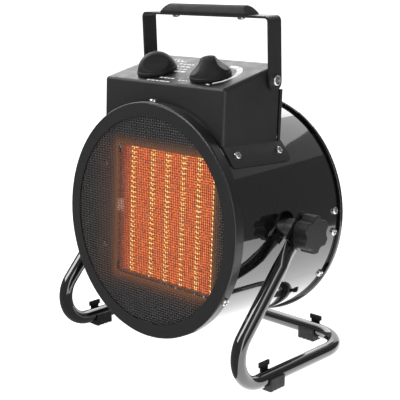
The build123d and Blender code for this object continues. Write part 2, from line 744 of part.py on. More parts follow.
def cable_gland():
    """The lead's inlet: a hexagon collar, a domed nose and a threaded spigot through the cover."""
    start, end = gland_span()
    seat = Plane(origin=(GLAND_X, FLANGE_END, GLAND_Z), x_dir=(1, 0, 0), z_dir=(0, 1, 0))
    gland = extrude(seat * RegularPolygon(GLAND_HEX, 6), GLAND_COLLAR)
    nose = gland_rod(GLAND_BODY, FLANGE_END, end)
    gland += fillet(nose.edges().sort_by(Axis.Y)[-1], GLAND_ROUND)
    gland += gland_rod(GLAND_SPIGOT, start, FLANGE_END + BITE)
    return gland - gland_rod(GLAND_BORE, start - BITE, end + BITE)


def gland_nut():
    front = FLANGE_END - SHEET
    seat = Plane(origin=(GLAND_X, front, GLAND_Z), x_dir=(1, 0, 0), z_dir=(0, -1, 0))
    return extrude(seat * RegularPolygon(GLAND_HEX, 6), GLAND_NUT) - gland_rod(GLAND_SPIGOT, 0, front + BITE)


# ---- dials
def switch_body(x):
    """A rotary switch or thermostat under the panel, with its bush up through it."""
    low = (Align.CENTER, Align.CENTER, Align.MIN)
    body = Pos(0, 0, -SHEET - SWITCH_DEPTH) * Box(SWITCH_SIDE, SWITCH_SIDE, SWITCH_DEPTH, align=low)
    body = fillet(body.edges().filter_by(Axis.Z), SWITCH_ROUND)
    body += Pos(0, 0, -SHEET - BITE) * Cylinder(BUSH_RADIUS, SHEET + BITE + BUSH_RISE, align=low)
    bore = Cylinder(DIAL_SPINDLE + RUNNING_FIT, 2 * DIAL_SPINDLE_DEPTH, align=low)
    body -= Pos(0, 0, -DIAL_SPINDLE_DEPTH) * bore
    for i in (-1, 0, 1):
        lug = Pos(i * LUG_SPACING, 0, -SHEET - SWITCH_DEPTH - LUG_LENGTH)
        body += lug * Box(LUG_WIDTH, LUG_SHEET, LUG_LENGTH + BITE, align=low)
    return on_panel(x, DIAL_Y) * body


def dial_spindle(x):
    low = (Align.CENTER, Align.CENTER, Align.MIN)
    spindle = Cylinder(DIAL_SPINDLE, DIAL_SPINDLE_DEPTH + DIAL_SPINDLE_RISE - SPINDLE_PLAY, align=low)
    return on_panel(x, DIAL_Y) * (Pos(0, 0, SPINDLE_PLAY - DIAL_SPINDLE_DEPTH) * spindle)


def dial_knob(x, turn):
    """A domed grip with a scoop each side that leaves a finger ridge, on a round skirt."""
    crown = DIAL_HEIGHT - DIAL_SKIRT
    skirt_top = DIAL_LIFT + DIAL_SKIRT
    shoulder = DIAL_RADIUS - DIAL_STEP
    low = Polyline((0, DIAL_LIFT), (DIAL_RADIUS, DIAL_LIFT), (DIAL_RADIUS, skirt_top), (shoulder, skirt_top))
    ball = (shoulder ** 2 + crown ** 2) / (2 * crown)
    centre = skirt_top + crown - ball
    half_way = (math.asin((skirt_top - centre) / ball) + math.pi / 2) / 2
    crest = (ball * math.cos(half_way), centre + ball * math.sin(half_way))
    dome = ThreePointArc((shoulder, skirt_top), crest, (0, skirt_top + crown))
    axis_line = Line((0, skirt_top + crown), (0, DIAL_LIFT))
    profile = make_face([*low.edges(), dome, axis_line])
    knob = Rot(90, 0, 0) * revolve(profile, Axis.Y)
    for sign in (-1, 1):
        scoop = Rot(90, 0, 0) * Cylinder(DIAL_SCOOP, 4 * DIAL_RADIUS)
        knob -= Pos(sign * DIAL_SCOOP_X, 0, DIAL_SCOOP_Z + DIAL_LIFT) * scoop
    base = (Align.CENTER, Align.CENTER, Align.MIN)
    knob -= Cylinder(DIAL_SPINDLE, DIAL_SPINDLE_RISE, align=base)
    return on_panel(x, DIAL_Y) * (Rot(0, 0, turn + 90) * knob)


# ---- handle: drawn upright over its pivot, then leaned forward
def lean_handle(shape):
    return Pos(0, PIVOT_Y, PIVOT_Z) * Rot(HANDLE_LEAN, 0, 0) * shape


def handle_strap():
    half, top, wall = HANDLE_HALF, HANDLE_HEIGHT, HANDLE_SHEET
    side = -HANDLE_WIDTH / 2
    outer = [(-half, side, -HANDLE_BELOW), (-half, side, top), (half, side, top), (half, side, -HANDLE_BELOW)]
    inner = [(half - wall, side, -HANDLE_BELOW), (half - wall, side, top - wall),
             (wall - half, side, top - wall), (wall - half, side, -HANDLE_BELOW)]
    tight = HANDLE_BEND - wall
    bends = [0, HANDLE_BEND, HANDLE_BEND, 0, 0, tight, tight, 0]
    outline = FilletPolyline(*outer, *inner, radius=bends, close=True)
    strap = extrude(make_face(outline), HANDLE_WIDTH, dir=(0, 1, 0))
    ends = [edge for edge in strap.edges().filter_by(Axis.X) if edge.center().Z < BITE - HANDLE_BELOW]
    strap = fillet(ends, HANDLE_WIDTH / 2 - HOLE_FIT)
    strap -= rod((-half - BITE, 0, 0), (half + BITE, 0, 0), PIVOT_RADIUS + HOLE_FIT)
    for x in (-GRIP_SCREW_X, GRIP_SCREW_X):
        strap -= rod((x, 0, top - PAST), (x, 0, top + PAST), SCREW_SHANK + SCREW_FIT)
    return lean_handle(strap)


def handle_grip():
    """A half-round moulding on the strap's bar, with sloping ends."""
    base, half, run = HANDLE_HEIGHT, GRIP_WIDTH / 2, GRIP_LENGTH / 2
    edge = base + GRIP_EDGE
    dome = ThreePointArc((-run, -half, edge), (-run, 0, base + GRIP_HIGH), (-run, half, edge))
    flat = Polyline((-run, -half, edge), (-run, -half, base), (-run, half, base), (-run, half, edge))
    grip = extrude(make_face([dome, flat]), GRIP_LENGTH, dir=(1, 0, 0))
    sides = Polyline((-run, -half, base), (run, -half, base), (run - GRIP_SLOPE, -half, base + GRIP_HIGH),
                     (GRIP_SLOPE - run, -half, base + GRIP_HIGH), close=True)
    grip = grip & extrude(make_face(sides), GRIP_WIDTH, dir=(0, 1, 0))
    for x in (-GRIP_SCREW_X, GRIP_SCREW_X):
        grip -= rod((x, 0, base - BITE), (x, 0, base + GRIP_SCREW_DEEP), SCREW_SHANK)
    return lean_handle(grip)


def grip_screws():
    screws = []
    for x in (-GRIP_SCREW_X, GRIP_SCREW_X):
        seat = Plane(origin=(x, 0, HANDLE_HEIGHT - HANDLE_SHEET), x_dir=(1, 0, 0), z_dir=(0, 0, -1))
        screws.append(pan_screw(seat, HANDLE_SHEET + GRIP_SCREW_DEEP))
    return lean_handle(group(screws))


def pivot_washers():
    washers = []
    for side in SIDES.values():
        start = (side * HOOD_HALF, PIVOT_Y, PIVOT_Z)
        end = (side * (HANDLE_HALF - HANDLE_SHEET - PIVOT_PLAY), PIVOT_Y, PIVOT_Z)
        washers.append(rod(start, end, PIVOT_WASHER) - rod(start, end, PIVOT_RADIUS + SCREW_FIT))
    return group(washers)


def pivot_screws():
    length = HANDLE_HALF + PIVOT_PLAY - HOOD_HALF + PAST
    return group(pan_screw(seat, length, PIVOT_HEAD, PIVOT_HEAD_HIGH, PIVOT_RADIUS) for seat in pivot_seats())


# ---- small fittings inside
def thermal_cutout():
    """A snap disc on the back of the baffle, above the element."""
    back = BAFFLE_Y + SHEET
    can = rod((0, back, CUTOUT_Z), (0, back + CUTOUT_HIGH, CUTOUT_Z), CUTOUT_RADIUS)
    top = back + CUTOUT_HIGH
    for x in (-TAG_X, TAG_X):
        can += block((x - TAG_WIDTH / 2, x + TAG_WIDTH / 2), (top - BITE, top + TAG_LENGTH),
                     (CUTOUT_Z - LUG_SHEET / 2, CUTOUT_Z + LUG_SHEET / 2))
    return can


def sensing_tube():
    """The thermostat's bulb behind the element, and its capillary up through the drum's entry."""
    bulb = rod((BULB_X - BULB_LENGTH, BULB_Y, BULB_Z), (BULB_X, BULB_Y, BULB_Z), BULB_RADIUS)
    left = BULB_X - BULB_LENGTH
    route = FilletPolyline((left + BITE, BULB_Y, BULB_Z), (0, BULB_Y, BULB_Z),
                           (0, ENTRY_Y, BULB_Z + CAPILLARY_RISE), (0, ENTRY_Y, DRUM_RADIUS + BULB_RADIUS),
                           radius=CAPILLARY_BEND)
    section = Plane(route @ 0, z_dir=route % 0) * Circle(CAPILLARY)
    return bulb + sweep(section, path=route)


def terminal_block():
    """A screw terminal strip on the drum, under the hood."""
    width, depth, high = BLOCK_SIZE
    top = DRUM_RADIUS + high
    body = block((-width / 2, width / 2), (BLOCK_Y - depth / 2, BLOCK_Y + depth / 2), (HOOD_FOOT, top))
    body -= disc(DRUM_RADIUS, 0, DRUM_END)
    step = width / BLOCK_WAYS
    for i in range(BLOCK_WAYS):
        x = (i + 0.5) * step - width / 2
        body -= rod((x, BLOCK_Y, top - BLOCK_WAY_DEEP), (x, BLOCK_Y, top + BITE), BLOCK_WAY_BORE)
    return body


# ---- stand, drawn with the clamp axis over the origin
def leg_point(along):
    """A point on the right leg's centreline, measured down the leg from the clamp axis."""
    lean = math.radians(LEG_LEAN)
    return (STAND_HALF, -along * math.sin(lean), CLAMP_HEIGHT - along * math.cos(lean))


def leg_plane(along):
    lean = math.radians(LEG_LEAN)
    down = (0, -math.sin(lean), -math.cos(lean))
    return Plane(origin=leg_point(along), x_dir=(1, 0, 0), z_dir=down)


def stand_route():
    drop = (CLAMP_HEIGHT - TUBE_Z) / math.cos(math.radians(LEG_LEAN))
    side = [leg_point(TAB_BELOW + TAB_FLARE), leg_point(drop), (STAND_HALF, STAND_BACK, TUBE_Z)]
    other = [(-x, y, z) for x, y, z in reversed(side)]
    return FilletPolyline(*side, *other, radius=[FRONT_BEND, REAR_BEND, REAR_BEND, FRONT_BEND])


def stand_tab():
    """The flattened, pierced end of the tube, for the clamp stud."""
    length = TAB_ABOVE + TAB_BELOW
    flat = leg_plane(0)
    plate = Plane(origin=flat.origin, x_dir=flat.z_dir, z_dir=(1, 0, 0))
    outline = Pos((TAB_BELOW - TAB_ABOVE) / 2, 0) * Rectangle(length, 2 * TAB_HALF)
    outline += Pos(-TAB_ABOVE, 0) * Circle(TAB_HALF)
    tab = extrude(plate * outline, TAB_SHEET / 2, both=True)
    flare = loft([leg_plane(TAB_BELOW) * Ellipse(TAB_SHEET / 2, TAB_HALF),
                  leg_plane(TAB_BELOW + TAB_FLARE) * Circle(TUBE_RADIUS)])
    tab += flare
    start, end = (STAND_HALF - PAST, 0, CLAMP_HEIGHT), (STAND_HALF + PAST, 0, CLAMP_HEIGHT)
    return tab - rod(start, end, STUD_RADIUS + 2 * HOLE_FIT)


def foot_places():
    """Each foot's name, its centre on the floor and the side that its fin stands on."""
    places = {}
    for name, side in SIDES.items():
        places["front_" + name] = ((side * STAND_HALF, FRONT_FOOT_Y, 0), (-1, 0, 0))
        places["rear_" + name] = ((side * REAR_FOOT_X, STAND_BACK, 0), (0, 1, 0))
    return places


def stand_tube():
    route = stand_route()
    start = Plane(route @ 0, z_dir=route % 0)
    tube = sweep(start * Circle(TUBE_RADIUS), path=route)
    tube -= sweep(start * Circle(TUBE_RADIUS - TUBE_WALL), path=route)
    tab = stand_tab()
    tube = tube + tab + mirror(tab, Plane.YZ)
    for (x, y, floor), _ in foot_places().values():
        tube -= rod((x, y, floor), (x, y, TUBE_Z), FOOT_PEG + HOLE_FIT)
    return tube


def saddle_foot(centre, fin):
    """A rubber saddle under the tube: ribbed pad, low near lip and a tall fin on one side."""
    half = TUBE_RADIUS + FOOT_WALL
    run = FOOT_LENGTH / 2
    body = block((-run, run), (-half, half), (0, FOOT_NEAR))
    body = fillet(body.faces().sort_by(Axis.Z)[0].edges().filter_by(Axis.X), FOOT_ROUND)
    tall = block((-FIN_LENGTH / 2, FIN_LENGTH / 2), (TUBE_RADIUS + FIN_OFF_TUBE, half), (TUBE_Z, FIN_TOP))
    nick = (FIN_LENGTH - FIN_WAIST) / 2
    for sign in (-1, 1):
        cut = sorted((sign * FIN_LENGTH, sign * (FIN_LENGTH / 2 - nick)))
        tall -= block(cut, (0, 2 * half), (FOOT_NEAR, FIN_WAIST_TOP))
    body += tall
    body -= rod((-run - BITE, 0, TUBE_Z), (run + BITE, 0, TUBE_Z), TUBE_RADIUS)
    groove = FOOT_GROOVE_WIDE / 2
    for x in (-run / 2, 0, run / 2):
        body -= block((x - groove, x + groove), (-half - BITE, half + BITE), (-BITE, FOOT_GROOVE))
    body += rod((0, 0, FOOT_PAD / 2), (0, 0, FOOT_PAD + FOOT_PEG_REACH), FOOT_PEG)
    seat = Plane(origin=centre, x_dir=Vector(*fin).cross(Vector(0, 0, 1)), z_dir=(0, 0, 1))
    return seat * body


# ---- the whole object
def heater_parts():
    parts = {
        "drum_shell": drum_shell(),
        "front_ring": front_ring(),
        "front_mesh": front_mesh(),
        "mesh_retainer": mesh_retainer(),
        "rear_ring": rear_ring(),
        "rear_grille": rear_grille(),
        "baffle_plate": baffle_plate(),
        "element_brackets": element_brackets(),
        "element_frame": element_frame(),
        "element_strips": element_strips(),
        "element_dividers": element_dividers(),
        "element_fins": element_fins(),
        "element_terminal": element_terminal(),
        "fan_blades": fan_blades(),
        "fan_nut": fan_nut(),
        "motor_shaft": motor_shaft(),
        "motor_can": motor_can(),
        "motor_bracket": motor_bracket(),
        "control_hood": control_hood(),
        "hood_rear_cover": hood_rear_cover(),
        "cable_gland": cable_gland(),
        "gland_nut": gland_nut(),
        "selector_switch": switch_body(SELECTOR_X),
        "selector_spindle": dial_spindle(SELECTOR_X),
        "selector_knob": dial_knob(SELECTOR_X, SELECTOR_TURN),
        "thermostat": switch_body(THERMOSTAT_X),
        "thermostat_spindle": dial_spindle(THERMOSTAT_X),
        "thermostat_knob": dial_knob(THERMOSTAT_X, THERMOSTAT_TURN),
        "handle_strap": handle_strap(),
        "handle_grip": handle_grip(),
        "grip_screws": grip_screws(),
        "pivot_washers": pivot_washers(),
        "pivot_screws": pivot_screws(),
        "thermal_cutout": thermal_cutout(),
        "sensing_tube": sensing_tube(),
        "terminal_block": terminal_block(),
        "front_ring_screws": group(pan_screw(seat) for seat in front_ring_seats()),
        "rear_ring_screws": group(pan_screw(seat) for seat in rear_ring_seats()),
        "hood_screws": group(pan_screw(seat) for seat in hood_seats()),
        "motor_bracket_screws": group(pan_screw(seat) for seat in strap_seats()),
        "baffle_screws": group(pan_screw(seat) for seat in bracket_seats()),
        "cover_screws": group(pan_screw(seat) for seat in cover_seats()),
    }
    for name, side in SIDES.items():
        parts["clamp_boss_" + name] = clamp_boss(side)
        parts["clamp_washer_" + name] = clamp_washer(side)
        parts["clamp_stud_" + name] = clamp_stud(side)
        parts["star_knob_" + name] = star_knob(side)
    return parts


def stand_parts():
    parts = {"stand_tube": stand_tube()}
    for name, (centre, fin) in foot_places().items():
        parts["foot_" + name] = saddle_foot(centre, fin)
    return parts


def heater_place():
    """From the heater's own frame to the stand's: level the clamp axis, tip the nose up, lift."""
    return Pos(0, 0, CLAMP_HEIGHT) * Rot(-TILT, 0, 0) * Pos(0, -CLAMP_Y, -CLAMP_Z)


def row_shift(parts):
    """Centres the whole object in X and Y, with its lowest point at zero."""
    boxes = [shape.bounding_box() for shape in parts.values()]
    middle_x = (min(box.min.X for box in boxes) + max(box.max.X for box in boxes)) / 2
    middle_y = (min(box.min.Y for box in boxes) + max(box.max.Y for box in boxes)) / 2
    return Pos(-middle_x, -middle_y, -min(box.min.Z for box in boxes))


place = heater_place()
parts = {name: place * shape for name, shape in heater_parts().items()}
parts.update(stand_parts())
shift = row_shift(parts)
parts = {name: shift * shape for name, shape in parts.items()}

os.makedirs("parts", exist_ok=True)
for name, shape in parts.items():
    export_step(shape, f"parts/{name}.step")
print(len(parts), "parts, moved by", shift.position)
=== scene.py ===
import json
import math

import bpy
import numpy as np
from mathutils import Matrix, Vector


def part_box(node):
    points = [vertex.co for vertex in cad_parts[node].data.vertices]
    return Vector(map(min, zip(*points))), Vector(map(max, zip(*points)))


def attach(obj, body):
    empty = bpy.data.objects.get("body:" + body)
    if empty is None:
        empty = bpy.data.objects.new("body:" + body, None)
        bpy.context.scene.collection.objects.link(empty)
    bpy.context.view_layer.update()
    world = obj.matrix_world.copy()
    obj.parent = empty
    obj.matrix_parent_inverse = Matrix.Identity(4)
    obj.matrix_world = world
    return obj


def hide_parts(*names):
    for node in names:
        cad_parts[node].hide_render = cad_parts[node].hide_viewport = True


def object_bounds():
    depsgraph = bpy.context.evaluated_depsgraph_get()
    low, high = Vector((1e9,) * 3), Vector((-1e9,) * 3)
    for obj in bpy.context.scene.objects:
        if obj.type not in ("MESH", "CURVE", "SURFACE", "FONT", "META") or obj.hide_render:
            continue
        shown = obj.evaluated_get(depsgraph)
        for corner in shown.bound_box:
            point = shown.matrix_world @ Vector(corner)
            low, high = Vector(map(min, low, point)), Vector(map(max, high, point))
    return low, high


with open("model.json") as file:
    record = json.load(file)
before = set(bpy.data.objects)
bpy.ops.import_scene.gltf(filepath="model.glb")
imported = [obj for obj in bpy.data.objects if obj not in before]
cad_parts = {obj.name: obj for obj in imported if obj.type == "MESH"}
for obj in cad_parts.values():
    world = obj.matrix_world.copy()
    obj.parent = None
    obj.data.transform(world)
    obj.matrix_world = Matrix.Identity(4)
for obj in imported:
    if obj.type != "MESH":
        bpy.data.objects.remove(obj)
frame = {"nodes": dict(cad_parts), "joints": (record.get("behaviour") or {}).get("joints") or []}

bl_info = {
    "name": "Drum Fan Heater",
    "version": (1, 0, 0),
    "blender": (4, 5, 0),
    "location": "3D View > Sidebar > Fan Heater",
    "description": "Finishes a drum fan heater: enamel, woven guard, glowing element, dials, print and rubber",
    "category": "Object",
}

CAD_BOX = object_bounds()
MM = 0.001
SQUARE = ((-1, -1), (1, -1), (1, 1), (-1, 1))


# ---- where the heater stands in the frame
def joint(name):
    """The record's row for a joint."""
    return next(row for row in frame["joints"] if row["name"] == name)


def node_points(name):
    """A CAD node's points as an array, in metres."""
    mesh = frame["nodes"][name].data
    points = np.zeros(len(mesh.vertices) * 3)
    mesh.vertices.foreach_get("co", points)
    return points.reshape(-1, 3)


def span(name, direction):
    """The lowest and highest reach of a CAD node along a direction, in metres."""
    reach = node_points(name) @ np.array(direction)
    return float(reach.min()), float(reach.max())


def frame_matrix(across, along, out, origin):
    """The matrix that carries a local frame into the heater's."""
    matrix = Matrix((across, along, out)).transposed().to_4x4()
    matrix.translation = origin
    return matrix


RIGHT = Vector((1, 0, 0))
BACK = Vector(joint("fan_spin")["axis"]).normalized()
UP = RIGHT.cross(BACK)

AXIS_POINT = Vector(joint("fan_spin")["pos_m"])
FACE = AXIS_POINT + BACK * (span("front_ring", BACK)[0] - AXIS_POINT.dot(BACK))
# Across, back along the drum's axis and up, from the middle of the front ring's face.
HEATER = frame_matrix(RIGHT, BACK, UP, FACE)

PANEL_OUT = -Vector(joint("thermostat_turn")["axis"]).normalized()
PANEL_RISE = PANEL_OUT.cross(RIGHT)
PANEL_TOP = span("control_hood", PANEL_OUT)[1]
DIALS = {name: Vector(joint(name + "_turn")["pos_m"]) for name in ("selector", "thermostat")}
DIAL_GAP = DIALS["thermostat"].x - DIALS["selector"].x
PANEL_MIDDLE = (DIALS["selector"] + DIALS["thermostat"]) / 2
# Across, up the slope and out of the panel, from the point midway between the dials.
PANEL = frame_matrix(RIGHT, PANEL_RISE, PANEL_OUT,
                     PANEL_MIDDLE + PANEL_OUT * (PANEL_TOP - PANEL_MIDDLE.dot(PANEL_OUT)))


# ---- sizes and colours
class HeaterSizes(bpy.types.PropertyGroup):
    wire_pitch: bpy.props.FloatProperty(
        name="Wire pitch", description="Spacing of the guard's wires", default=2.25 * MM,
        unit="LENGTH")
    wire_thickness: bpy.props.FloatProperty(
        name="Wire thickness", description="Thickness of one guard wire", default=0.66 * MM,
        unit="LENGTH")
    mould_grain: bpy.props.FloatProperty(
        name="Moulding detail", description="Finest step of the softened mouldings",
        default=0.4 * MM, unit="LENGTH")
    print_height: bpy.props.FloatProperty(
        name="Print height", description="How far the panel's print stands up",
        default=0.06 * MM, unit="LENGTH")


class HeaterColours(bpy.types.PropertyGroup):
    enamel: bpy.props.FloatVectorProperty(
        name="Enamel", description="Gloss enamel on the drum and stand", subtype="COLOR",
        default=(0.006, 0.006, 0.0065))
    powder_coat: bpy.props.FloatVectorProperty(
        name="Powder coat", description="Satin coat on the hood, handle and front ring",
        subtype="COLOR", default=(0.016, 0.016, 0.0164))
    moulding: bpy.props.FloatVectorProperty(
        name="Moulding", description="Dials, star knobs and grip", subtype="COLOR",
        default=(0.013, 0.013, 0.0135))
    rubber: bpy.props.FloatVectorProperty(
        name="Rubber", description="Saddle feet", subtype="COLOR", default=(0.014, 0.014, 0.014))
    fins: bpy.props.FloatVectorProperty(
        name="Fins", description="Glow of the folded fins", subtype="COLOR",
        default=(1.0, 0.19, 0.02))
    strips: bpy.props.FloatVectorProperty(
        name="Strips", description="Glow of the hottest strips", subtype="COLOR",
        default=(1.0, 0.50, 0.12))
    ink: bpy.props.FloatVectorProperty(
        name="Print", description="Ink of the panel's marks", subtype="COLOR",
        default=(0.80, 0.80, 0.78))


def sizes():
    return bpy.context.scene.heater_sizes


def colours():
    return bpy.context.scene.heater_colours


# ---- material making
NICKEL = (0.66, 0.65, 0.63)
ZINC = (0.42, 0.42, 0.43)
ALUMINIUM = (0.45, 0.45, 0.46)
BLACK_OXIDE = (0.03, 0.03, 0.032)
COPPER = (0.80, 0.50, 0.32)
NYLON = (0.017, 0.017, 0.018)
HOT_METAL = (0.25, 0.12, 0.07)
PALE = (0.9, 0.9, 0.9)
WHITE = (1.0, 1.0, 1.0)
NO_GLOW = (0.0, 0.0, 0.0)
# Colour of the painted glow that the element's light throws on the baffle and the guard.
PAINTED_HALO = (0.60, 0.17, 0.015)
HOT_LEAD = (1.0, 0.62, 0.42)
BAFFLE_BLACK = (0.008, 0.008, 0.008)
WIRE_GREY = (0.075, 0.076, 0.078)
# What is left of each channel of a glow where the metal is coolest.
DULL_RED = (0.16, 0.05, 0.04)
# The fins are cooler from the element's left edge up to this band in from it.
COOL_BAND = (4 * MM, 16 * MM)
# Spacing up the strips of the bonds to the fins' crests, and how far their pattern shifts across.
BOND_PITCH = 4.6 * MM
BOND_SLANT = 900.0
# Drawn out along a sheet's rolling direction.
ROLLED = (1.0, 1.0, 0.1)
# The colour sockets of a Mix node, which shares its names among its data types.
MIX_A, MIX_B, MIX_RESULT = 6, 7, 2


class Recipe:
    """A material's node tree, with short calls for the nodes that the finishes share."""

    def __init__(self, name):
        self.material = bpy.data.materials.new(name)
        self.material.use_nodes = True
        self.tree = self.material.node_tree
        self.tree.nodes.clear()
        self.shader = self.add("ShaderNodeBsdfPrincipled")
        output = self.add("ShaderNodeOutputMaterial")
        self.link(self.shader.outputs["BSDF"], output.inputs["Surface"])
        self.place = self.add("ShaderNodeTexCoord").outputs["Object"]

    def add(self, kind, **settings):
        """A new node with its settings."""
        node = self.tree.nodes.new(kind)
        for key, value in settings.items():
            setattr(node, key, value)
        return node

    def link(self, start, end):
        """Joins an output to an input."""
        self.tree.links.new(start, end)

    def set(self, **values):
        """Plain values for the shader's sockets, with underscores for spaces."""
        for key, value in values.items():
            socket = self.shader.inputs[key.replace("_", " ")]
            socket.default_value = (*value, 1.0) if key.endswith("Color") else value

    def noise(self, scale, detail=3.0, roughness=0.55, stretch=None):
        """A noise value, which may be drawn out along an axis."""
        node = self.add("ShaderNodeTexNoise")
        node.inputs["Scale"].default_value = scale
        node.inputs["Detail"].default_value = detail
        node.inputs["Roughness"].default_value = roughness
        source = self.place
        if stretch:
            mapping = self.add("ShaderNodeMapping")
            mapping.inputs["Scale"].default_value = stretch
            self.link(self.place, mapping.inputs["Vector"])
            source = mapping.outputs["Vector"]
        self.link(source, node.inputs["Vector"])
        return node.outputs["Fac"]

    def spread(self, value, low, high, start=0.3, end=0.7):
        """Carries a value from one range onto another, and holds it at their ends."""
        node = self.add("ShaderNodeMapRange")
        ends = (("From Min", start), ("From Max", end), ("To Min", low), ("To Max", high))
        for key, number in ends:
            node.inputs[key].default_value = number
        self.link(value, node.inputs["Value"])
        return node.outputs["Result"]

    def math(self, operation, *values):
        """One step of arithmetic on plain numbers and other nodes' values."""
        node = self.add("ShaderNodeMath", operation=operation)
        for socket, value in zip(node.inputs, values):
            if isinstance(value, (int, float)):
                socket.default_value = value
            else:
                self.link(value, socket)
        return node.outputs[0]

    def blend(self, value, first, second):
        """A colour between two others."""
        node = self.add("ShaderNodeMix", data_type="RGBA")
        self.link(value, node.inputs["Factor"])
        for index, colour in ((MIX_A, first), (MIX_B, second)):
            node.inputs[index].default_value = (*colour, 1.0)
        return node.outputs[MIX_RESULT]

    def shade(self, colour, fraction, value):
        """A base colour that varies by a fraction each way with a value."""
        dark = [channel * (1 - fraction) for channel in colour]
        light = [channel * (1 + fraction) for channel in colour]
        self.link(self.blend(value, dark, light), self.shader.inputs["Base Color"])

    def rough(self, low, high, value):
        """A roughness that varies between two values."""
        self.link(self.spread(value, low, high), self.shader.inputs["Roughness"])

    def bump(self, value, strength, distance):
        """Raises the surface by a value."""
        node = self.add("ShaderNodeBump")
        node.inputs["Strength"].default_value = strength
        node.inputs["Distance"].default_value = distance
        self.link(value, node.inputs["Height"])
        self.link(node.outputs["Normal"], self.shader.inputs["Normal"])

    def facing(self, direction):
        """How far the surface faces a fixed direction, from -1 to 1."""
        node = self.add("ShaderNodeVectorMath", operation="DOT_PRODUCT")
        self.link(self.add("ShaderNodeNewGeometry").outputs["Normal"], node.inputs[0])
        node.inputs[1].default_value = direction
        return node.outputs["Value"]

    def light_up(self, amount, colour):
        """Emission that runs from a dull red of the colour up to the colour itself."""
        dim = [channel * shade for channel, shade in zip(colour, DULL_RED)]
        self.link(self.blend(amount, dim, colour), self.shader.inputs["Emission Color"])

    def heater_place(self):
        """Object positions turned into the heater's own frame, as separate X, Y and Z values."""
        mapping = self.add("ShaderNodeMapping", vector_type="POINT")
        turn = HEATER.inverted()
        mapping.inputs["Rotation"].default_value = turn.to_euler()
        mapping.inputs["Location"].default_value = turn.translation
        self.link(self.place, mapping.inputs["Vector"])
        parts = self.add("ShaderNodeSeparateXYZ")
        self.link(mapping.outputs["Vector"], parts.inputs["Vector"])
        return parts.outputs


def coat(name, colour, vary, patch, rough, rough_patch, skin=None, **settings):
    """A finish whose colour and roughness vary in patches. Its skin is a noise scale and detail, a strength
    and a depth."""
    made = Recipe(name)
    made.shade(colour, vary, made.noise(patch))
    made.rough(*rough, made.noise(rough_patch))
    made.set(**settings)
    if skin:
        scale, detail, strength, depth = skin
        made.bump(made.noise(scale, detail), strength, depth)
    return made.material


def gloss_enamel():
    """Deep black enamel: a clear even gloss with a trace of orange peel."""
    return coat("gloss_enamel", colours().enamel, vary=0.25, patch=60.0,
                rough=(0.035, 0.075), rough_patch=140.0, skin=(420.0, 2.0, 0.12, 0.04 * MM),
                IOR=1.62, Coat_Weight=0.7, Coat_Roughness=0.015, Coat_IOR=1.6)


def powder_coat():
    """Satin black powder coat with its fine pebbled skin."""
    return coat("powder_coat", colours().powder_coat, vary=0.12, patch=35.0,
                rough=(0.40, 0.50), rough_patch=90.0, skin=(2600.0, 2.0, 0.35, 0.05 * MM), IOR=1.5)


def ring_coat():
    """The front ring's powder coat, which is a little smoother than the hood's."""
    return coat("ring_coat", colours().powder_coat, vary=0.12, patch=40.0,
                rough=(0.30, 0.38), rough_patch=110.0, skin=(2600.0, 2.0, 0.25, 0.04 * MM), IOR=1.5)


def moulded_plastic():
    """Dull black plastic with a fine moulded grain, on the dials and the grip."""
    return coat("moulded_plastic", colours().moulding, vary=0.15, patch=70.0,
                rough=(0.55, 0.66), rough_patch=160.0, skin=(3200.0, 2.0, 0.3, 0.05 * MM), IOR=1.38)


def grained_phenolic():
    """Hard black moulding with a coarse spark grain, as on hand knobs."""
    return coat("grained_phenolic", colours().moulding, vary=0.2, patch=90.0,
                rough=(0.42, 0.56), rough_patch=700.0, skin=(1500.0, 3.0, 0.5, 0.12 * MM), IOR=1.4)


def moulded_rubber():
    """Soft black rubber, on the saddle feet."""
    return coat("moulded_rubber", colours().rubber, vary=0.2, patch=50.0,
                rough=(0.62, 0.78), rough_patch=200.0, skin=(1800.0, 3.0, 0.4, 0.08 * MM))


def bright_nickel():
    """Nickel plate on the screws."""
    return coat("bright_nickel", NICKEL, vary=0.08, patch=300.0,
                rough=(0.16, 0.3), rough_patch=500.0, skin=(1600.0, 2.0, 0.15, 0.04 * MM), Metallic=1.0)


def zinc_sheet():
    """Zinc-plated steel, drawn out along its rolling direction."""
    made = Recipe("zinc_sheet")
    made.shade(ZINC, 0.15, made.noise(80.0, 5.0))
    made.rough(0.3, 0.5, made.noise(900.0, 3.0, stretch=ROLLED))
    made.set(Metallic=1.0)
    made.bump(made.noise(900.0, 3.0, stretch=ROLLED), 0.2, 0.03 * MM)
    return made.material


def cast_aluminium():
    """Dull cast aluminium, on the fan's blades."""
    return coat("cast_aluminium", ALUMINIUM, vary=0.12, patch=70.0,
                rough=(0.34, 0.5), rough_patch=400.0, skin=(1200.0, 3.0, 0.25, 0.06 * MM), Metallic=1.0)


def black_oxide():
    """Blackened steel, on the clamp washers."""
    return coat("black_oxide", BLACK_OXIDE, vary=0.2, patch=120.0,
                rough=(0.3, 0.42), rough_patch=500.0, Metallic=0.4)


def bright_copper():
    """Drawn copper, on the thermostat's sensing tube."""
    return coat("bright_copper", COPPER, vary=0.12, patch=400.0,
                rough=(0.2, 0.35), rough_patch=700.0, Metallic=1.0)


def black_nylon():
    """Black nylon, on the gland, the switches and the pivots' washers."""
    return coat("black_nylon", NYLON, vary=0.15, patch=90.0,
                rough=(0.4, 0.52), rough_patch=260.0, skin=(1400.0, 3.0, 0.2, 0.05 * MM))


def panel_ink_painted_glow():
    """White ink, with a painted glow of its own so that it reads on the dark panel."""
    return coat("panel_ink_painted_glow", colours().ink, vary=0.08, patch=900.0,
                rough=(0.45, 0.6), rough_patch=600.0,
                Emission_Strength=0.35, Emission_Color=tuple(colours().ink))


def pale_floor():
    """The studio's floor and wall, lit evenly."""
    made = Recipe("pale_floor")
    made.shade(PALE, 0.02, made.noise(6.0))
    made.set(Roughness=0.8, Emission_Strength=1.0, Emission_Color=WHITE)
    return made.material


